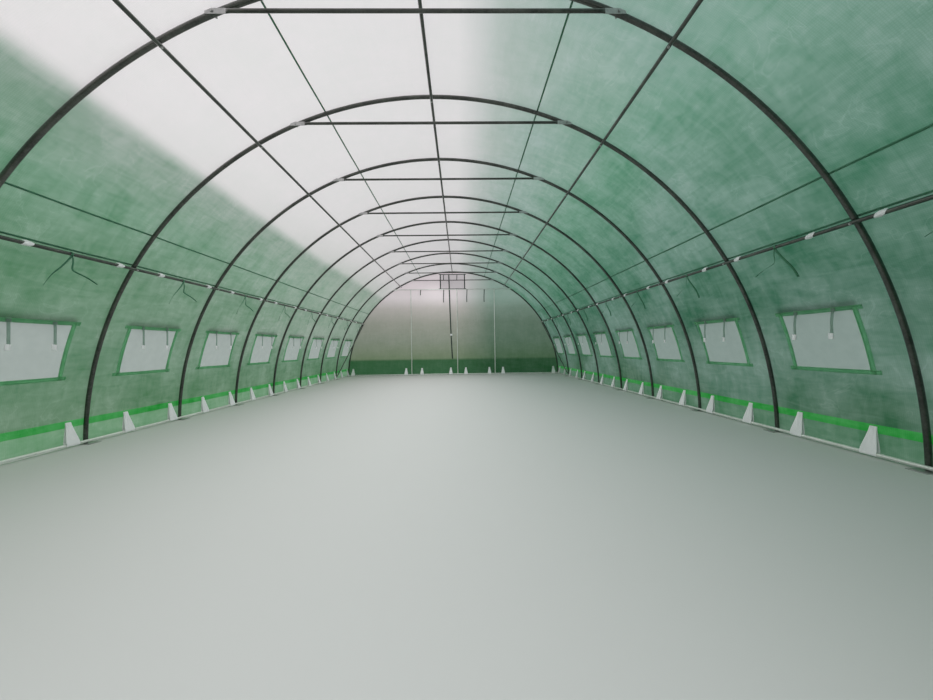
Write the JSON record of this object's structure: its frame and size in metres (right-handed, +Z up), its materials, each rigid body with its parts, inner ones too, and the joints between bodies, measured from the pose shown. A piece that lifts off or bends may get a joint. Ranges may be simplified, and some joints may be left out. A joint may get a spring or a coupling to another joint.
{
  "type": "polytunnel greenhouse",
  "caption": "Round-arched polytunnel greenhouse: tubular steel hoops, purlins and collar ties under a translucent green film cover with net windows and a door at each end.",
  "frame": {"origin": "on the ground in the middle of the tunnel", "axes": "+X to the right, +Y along the tunnel to the closed end, +Z up"},
  "size_m": [6.0118, 10.0386, 2.9433],
  "materials": {
    "galvanised_tube": "hot-dip galvanised, dull, with a faint spangle",
    "green_film": "translucent green polyethylene film with a woven scrim, softly creased",
    "window_net": "fine pale insect net",
    "dark_green_tape": "dark green woven tape",
    "white_webbing": "white woven strap, matt"
  },
  "bodies": {
    "root": {"hoop_01": "galvanised_tube", "hoop_02": "galvanised_tube", "hoop_03": "galvanised_tube", "hoop_04": "galvanised_tube", "hoop_05": "galvanised_tube", "hoop_06": "galvanised_tube", "hoop_07": "galvanised_tube", "hoop_08": "galvanised_tube", "hoop_09": "galvanised_tube", "hoop_10": "galvanised_tube", "hoop_11": "galvanised_tube", "foot_plates_left": "galvanised_tube", "foot_plates_right": "galvanised_tube", "collar_ties": "galvanised_tube", "ridge_purlin": "galvanised_tube", "haunch_purlin_left": "galvanised_tube", "haunch_purlin_right": "galvanised_tube", "side_purlin_left": "galvanised_tube", "side_purlin_right": "galvanised_tube", "base_rail_left": "galvanised_tube", "base_rail_right": "galvanised_tube", "end_sills": "galvanised_tube", "door_frame_front": "galvanised_tube", "door_frame_back": "galvanised_tube", "braces": "galvanised_tube", "roof_film_centre": "green_film", "roof_film_left": "green_film", "roof_film_right": "green_film", "wall_film_left": "green_film", "wall_film_right": "green_film", "skirt_left": "green_film", "skirt_right": "green_film", "end_film_front": "green_film", "end_film_back": "green_film", "door_film_back": "green_film", "door_roll_front": "green_film", "window_rolls_left": "green_film", "window_rolls_right": "green_film", "window_nets_left": "window_net", "window_nets_right": "window_net", "vent_nets": "window_net", "window_hems_left": "dark_green_tape", "window_hems_right": "dark_green_tape", "vent_hems": "dark_green_tape", "base_straps": "white_webbing"}
  },
  "joints": []
}
